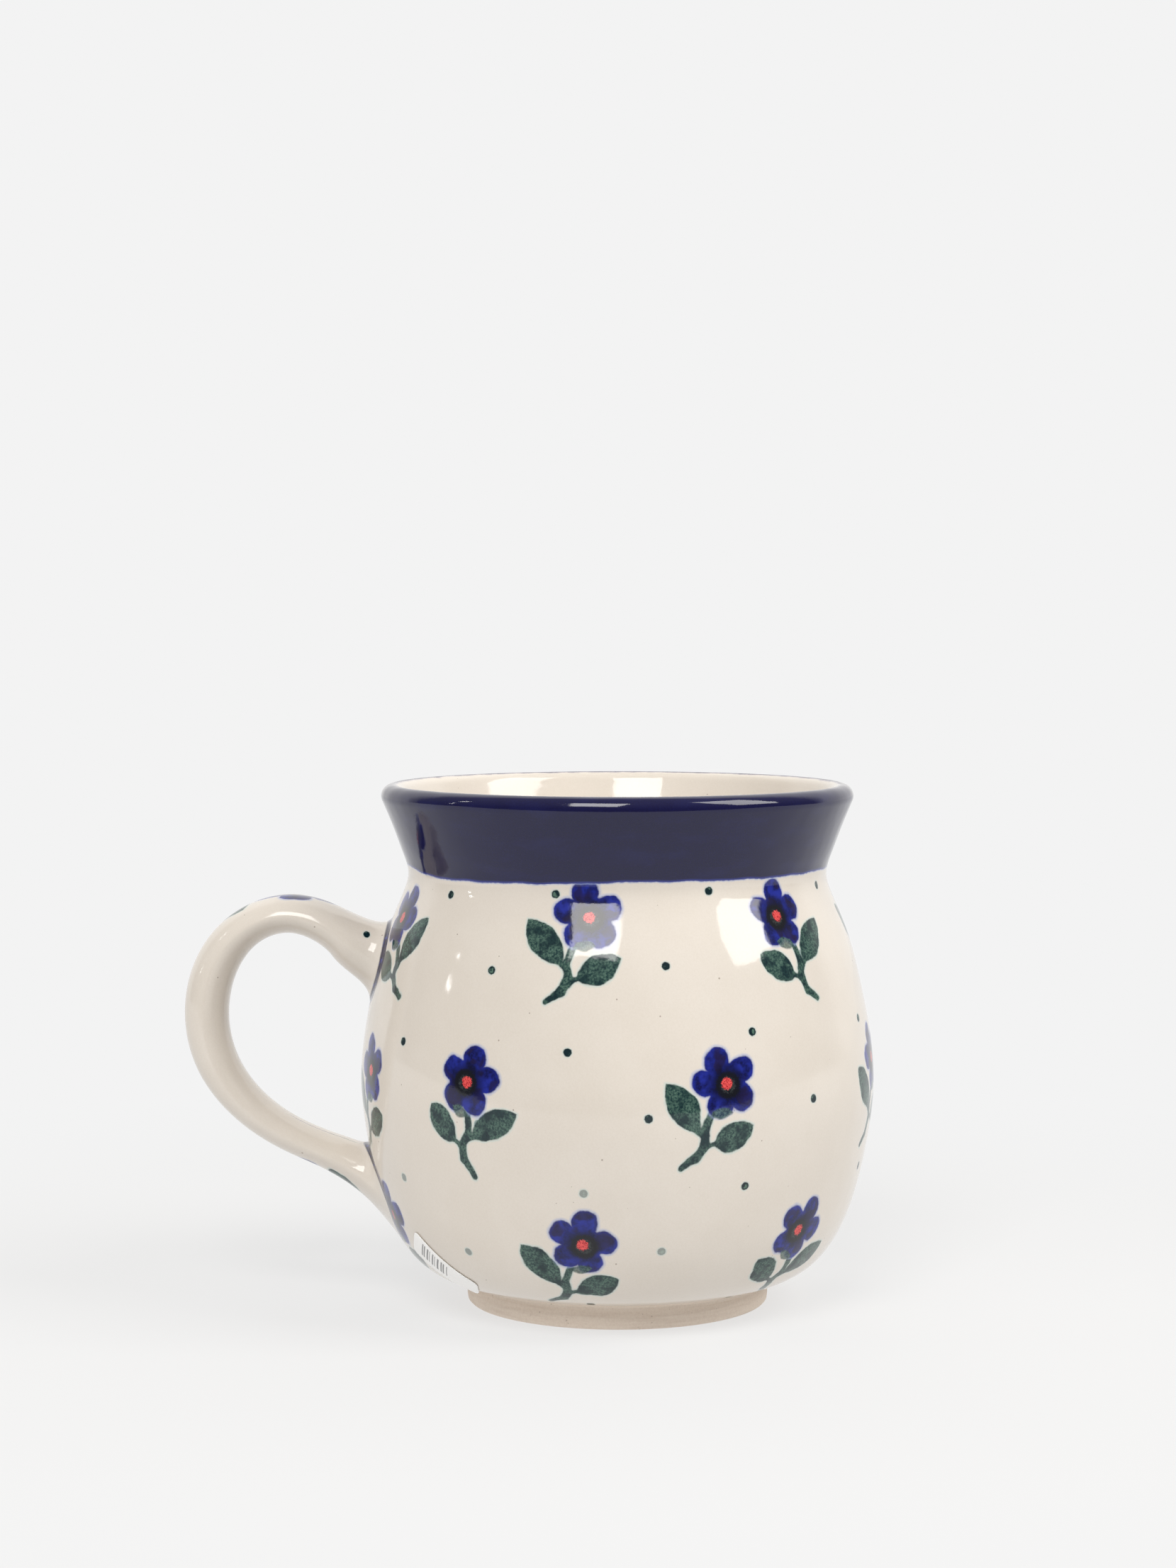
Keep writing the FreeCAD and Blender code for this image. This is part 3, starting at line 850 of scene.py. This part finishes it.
def handle():
    """One smooth loop from wall to wall, cut into the strap and its two joints."""
    rings, side, up = strap_rings()
    upper = joint_rows(rings[0], rings[1], UPPER_ROOT, side, up)[::-1]
    lower = joint_rows(rings[-1], rings[-2], LOWER_ROOT, side, -up)
    grid = np.concatenate([upper, rings, lower])
    normals = normals_of(grid, True)
    round_step = np.linalg.norm(np.roll(grid, -1, 1) - grid, axis=-1)
    perimeter = round_step.sum(1, keepdims=True)
    arc = np.cumsum(round_step, axis=1) - round_step
    arc = arc - arc[:, RING_POINTS // 4][:, None]
    path = grid.mean(1)
    travelled = np.concatenate([[0], np.cumsum(np.linalg.norm(np.diff(path, axis=0), axis=1))])
    angle = -TAU * arc / perimeter
    steps = np.linalg.norm(np.diff(grid, axis=0), axis=-1)
    down = np.concatenate([np.zeros((1, RING_POINTS)), np.cumsum(steps, axis=0)])
    from_wall = np.minimum(np.abs(down - down[1]), np.abs(down[-2] - down))
    radius = np.broadcast_to(perimeter / TAU, angle.shape)
    along = np.broadcast_to(-travelled[:, None], angle.shape)
    sprigs, dots = [[
        (degrees, -travelled[np.argmin(np.hypot(path[:, 0] + reach, path[:, 2] - height))], *rest)
        for reach, height, degrees, *rest in stamps
    ] for stamps in (HANDLE_SPRIGS, HANDLE_DOTS)]
    cuts = {
        "upper_joint": (0, len(upper), "glazed_slip", ["upper_handle_joint"]),
        "strap": (len(upper), len(upper) + len(rings) - 1, "handle_glaze",
                  ["stoneware_handle", "handle_glaze"]),
        "lower_joint": (len(upper) + len(rings) - 1, len(grid) - 1, "glazed_slip", ["lower_handle_joint"]),
    }
    materials = {slot: decorated_glaze(slot) for slot in ("glazed_slip", "handle_glaze")}
    for name, (start, end, slot, nodes) in cuts.items():
        part = slice(start, end + 1)
        count = end + 1 - start
        faces = grid_faces(count, RING_POINTS, True)
        across = (angle[part].ravel()[faces], radius[part].ravel()[faces])
        corner_data = stamp_layers(across, along[part].ravel()[faces], sprigs, dots)
        far = np.full(count * RING_POINTS, 20.0)
        point_data = {"joint_gap": -from_wall[part].ravel(), "band_gap": far, "foot_gap": far}
        piece = make_piece(name, grid[part].reshape(-1, 3), faces, normals[part].reshape(-1, 3),
                           materials[slot], corner_data, point_data)
        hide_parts(*nodes)


# The label

LABEL_AZIMUTH = math.radians(-61)
LABEL_TILT = math.radians(45)
LABEL_WIDTH = 7.0
LABEL_LENGTH = 14.4
LABEL_START = 3.2
LABEL_THICKNESS = 0.15
LABEL_LIFT = 0.12
LABEL_TOP = 17.6
LABEL_LEAVES_BELLY = 7.2
LABEL_END = (30.4, 3.5)


def label_path():
    """What the label's back lies on, going down: the belly, then straight over the crease to the foot."""
    along = np.arange(outer.reach(LABEL_TOP), outer.reach(LABEL_LEAVES_BELLY), -0.2)
    stuck = np.stack([outer.radius(along), outer.height(along)], axis=1)
    path = np.concatenate([stuck, np.linspace(stuck[-1], LABEL_END, 30)[1:]])
    travelled = np.concatenate([[0], np.cumsum(np.linalg.norm(np.diff(path, axis=0), axis=1))])
    run = np.gradient(path, axis=0)
    run /= np.linalg.norm(run, axis=1, keepdims=True)
    return travelled, (path[:, 0], path[:, 1], -run[:, 1], run[:, 0])


def paper_label():
    """The price label, stuck on aslant so that its lower end lies nearer the front."""
    travelled, columns = label_path()
    along = np.linspace(0, LABEL_LENGTH, 60)[:, None]
    end_gap = np.minimum(along, LABEL_LENGTH - along)
    tuck = 1.2 - np.sqrt(np.maximum(1.2 ** 2 - np.maximum(1.2 - end_gap, 0) ** 2, 0))
    half = LABEL_WIDTH / 2 - tuck
    face_lift = LABEL_LIFT + LABEL_THICKNESS * np.clip(end_gap / 0.15, 0, 1)
    share = np.linspace(1, -1, 17)
    sheets = []
    for sides, lift in ((share, face_lift), (share[::-1], LABEL_LIFT)):
        across = half * sides
        down = LABEL_START + along * math.cos(LABEL_TILT) - across * math.sin(LABEL_TILT)
        forward = along * math.sin(LABEL_TILT) + across * math.cos(LABEL_TILT)
        radius, height, outward, upward = (np.interp(down, travelled, column) for column in columns)
        azimuth = LABEL_AZIMUTH + forward / radius
        reach = radius + outward * lift + wobble(azimuth, height)
        place = [reach * np.sin(azimuth), -reach * np.cos(azimuth), height + upward * lift]
        sheets.append((np.stack(place, axis=-1), across))
    grid = np.concatenate([sheet for sheet, _ in sheets], axis=1)
    across = np.concatenate([sides for _, sides in sheets], axis=1)
    faces = grid_faces(len(grid), grid.shape[1], True)
    printed = np.stack([across, along + 0 * across, 0 * across], axis=-1).reshape(-1, 3)
    piece = make_piece("paper_label", grid.reshape(-1, 3), faces, normals_of(grid, True).reshape(-1, 3),
                       label_paper(), {"print": printed[faces]})
    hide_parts("price_label")


# The studio

BACKDROP = 0.896
CAMERA_PLACE = (0.0, -0.582, 0.128)
CAMERA_PITCH = math.radians(3.26)
CAMERA_YAW = math.radians(0.536)
CAMERA_LENS = 73.1
AIM_HEIGHT = 0.05
TABLE_GLOW = 0.625
TABLE_GREY = 0.22


def studio_surroundings():
    """A plain pale ground for the camera; for reflections, a white sweep behind and a dim room in front."""
    world = bpy.data.worlds.new("studio")
    world.use_nodes = True
    bpy.context.scene.world = world
    nodes, links = world.node_tree.nodes, world.node_tree.links
    nodes.clear()
    path = nodes.new("ShaderNodeLightPath")
    where = nodes.new("ShaderNodeTexCoord")
    split = nodes.new("ShaderNodeSeparateXYZ")
    sweep = nodes.new("ShaderNodeMapRange")
    for name, value in (("From Min", 0.35), ("From Max", 0.55), ("To Min", 0.2), ("To Max", 1.0)):
        sweep.inputs[name].default_value = value
    ceiling = nodes.new("ShaderNodeMapRange")
    for name, value in (("From Min", 0.1), ("From Max", 0.9), ("To Min", 0.0), ("To Max", 0.25)):
        ceiling.inputs[name].default_value = value
    total = nodes.new("ShaderNodeMath")
    seen, around, join, out = (nodes.new(kind) for kind in (
        "ShaderNodeBackground", "ShaderNodeBackground", "ShaderNodeMixShader", "ShaderNodeOutputWorld"))
    seen.inputs["Color"].default_value = (BACKDROP, BACKDROP, BACKDROP, 1.0)
    around.inputs["Color"].default_value = (1.0, 0.99, 0.97, 1.0)
    links.new(where.outputs["Generated"], split.inputs[0])
    links.new(split.outputs["Y"], sweep.inputs["Value"])
    links.new(split.outputs["Z"], ceiling.inputs["Value"])
    links.new(sweep.outputs[0], total.inputs[0])
    links.new(ceiling.outputs[0], total.inputs[1])
    links.new(total.outputs[0], around.inputs["Strength"])
    links.new(path.outputs["Is Camera Ray"], join.inputs[0])
    links.new(around.outputs[0], join.inputs[1])
    links.new(seen.outputs[0], join.inputs[2])
    links.new(join.outputs[0], out.inputs[0])


def table():
    """The white table, which fades into the plain ground away from the mug."""
    corners = [(-1.6, -0.28, 0), (1.6, -0.28, 0), (1.6, 3.0, 0), (-1.6, 3.0, 0)]
    mesh = bpy.data.meshes.new("table")
    mesh.from_pydata(corners, [], [(0, 1, 2, 3)])
    floor = bpy.data.objects.new("table", mesh)
    bpy.context.scene.collection.objects.link(floor)
    graph = Graph("white_table")
    distance = graph.vector("LENGTH", graph.place(), output="Value")
    lit = graph.ramp(distance, 260.0, 90.0)
    graph.feed(graph.shader.inputs["Base Color"], (TABLE_GREY, TABLE_GREY, TABLE_GREY, 1.0))
    graph.feed(graph.shader.inputs["Roughness"], 1.0)
    graph.feed(graph.shader.inputs["Specular IOR Level"], 0.0)
    graph.feed(graph.shader.inputs["Emission Color"], (1.0, 1.0, 1.0, 1.0))
    graph.feed(graph.shader.inputs["Emission Strength"], TABLE_GLOW)
    plain = graph.node("ShaderNodeEmission", {"Color": (BACKDROP, BACKDROP, BACKDROP, 1.0)})
    join = graph.nodes.new("ShaderNodeMixShader")
    graph.feed(join.inputs[0], lit)
    graph.feed(join.inputs[1], plain)
    graph.links.new(graph.shader.outputs[0], join.inputs[2])
    graph.links.new(join.outputs[0], graph.nodes["Material Output"].inputs["Surface"])
    mesh.materials.append(graph.material)


def softbox(name, azimuth, elevation, distance, size, radiance, seen=True):
    """A rectangular light that faces the mug, with its brightness as seen in a reflection, if it is seen."""
    light = bpy.data.lights.new(name, "AREA")
    light.shape = "RECTANGLE"
    light.size, light.size_y = size
    light.energy = radiance * math.pi * size[0] * size[1]
    light.color = (1.0, 0.985, 0.96)
    lamp = bpy.data.objects.new(name, light)
    lamp.visible_glossy = seen
    turn, climb = math.radians(azimuth), math.radians(elevation)
    level = distance * math.cos(climb)
    lamp.location = (level * math.sin(turn), -level * math.cos(turn), AIM_HEIGHT + distance * math.sin(climb))
    lamp.rotation_euler = (math.pi / 2 - climb, 0, turn)
    bpy.context.scene.collection.objects.link(lamp)


def camera():
    """A normal lens a little above the rim, level with the middle of the frame."""
    data = bpy.data.cameras.new("camera")
    data.sensor_fit = "VERTICAL"
    data.sensor_height = 36
    data.lens = CAMERA_LENS
    data.clip_start = 0.01
    eye = bpy.data.objects.new("camera", data)
    eye.location = CAMERA_PLACE
    eye.rotation_euler = (math.pi / 2 - CAMERA_PITCH, 0, CAMERA_YAW)
    bpy.context.scene.collection.objects.link(eye)
    bpy.context.scene.camera = eye


thrown_pot()
decorated_wall()
cobalt_band()
lining()
handle()
paper_label()
studio_surroundings()
table()
softbox("window_left", -12.5, 44.0, 1.2, (0.47, 0.62), 8.5)
softbox("window_right", 73.0, 41.0, 1.2, (0.54, 0.8), 6.0)
softbox("fill_left", -48.0, 20.0, 1.1, (0.5, 0.55), 1.5, seen=False)
for climb, height in ((33.0, 0.12), (19.0, 0.045), (13.0, 0.05)):
    softbox("strip_left", -86.0, climb, 1.1, (0.022, height), 16.0)
camera()
bpy.context.scene.view_settings.view_transform = "Standard"
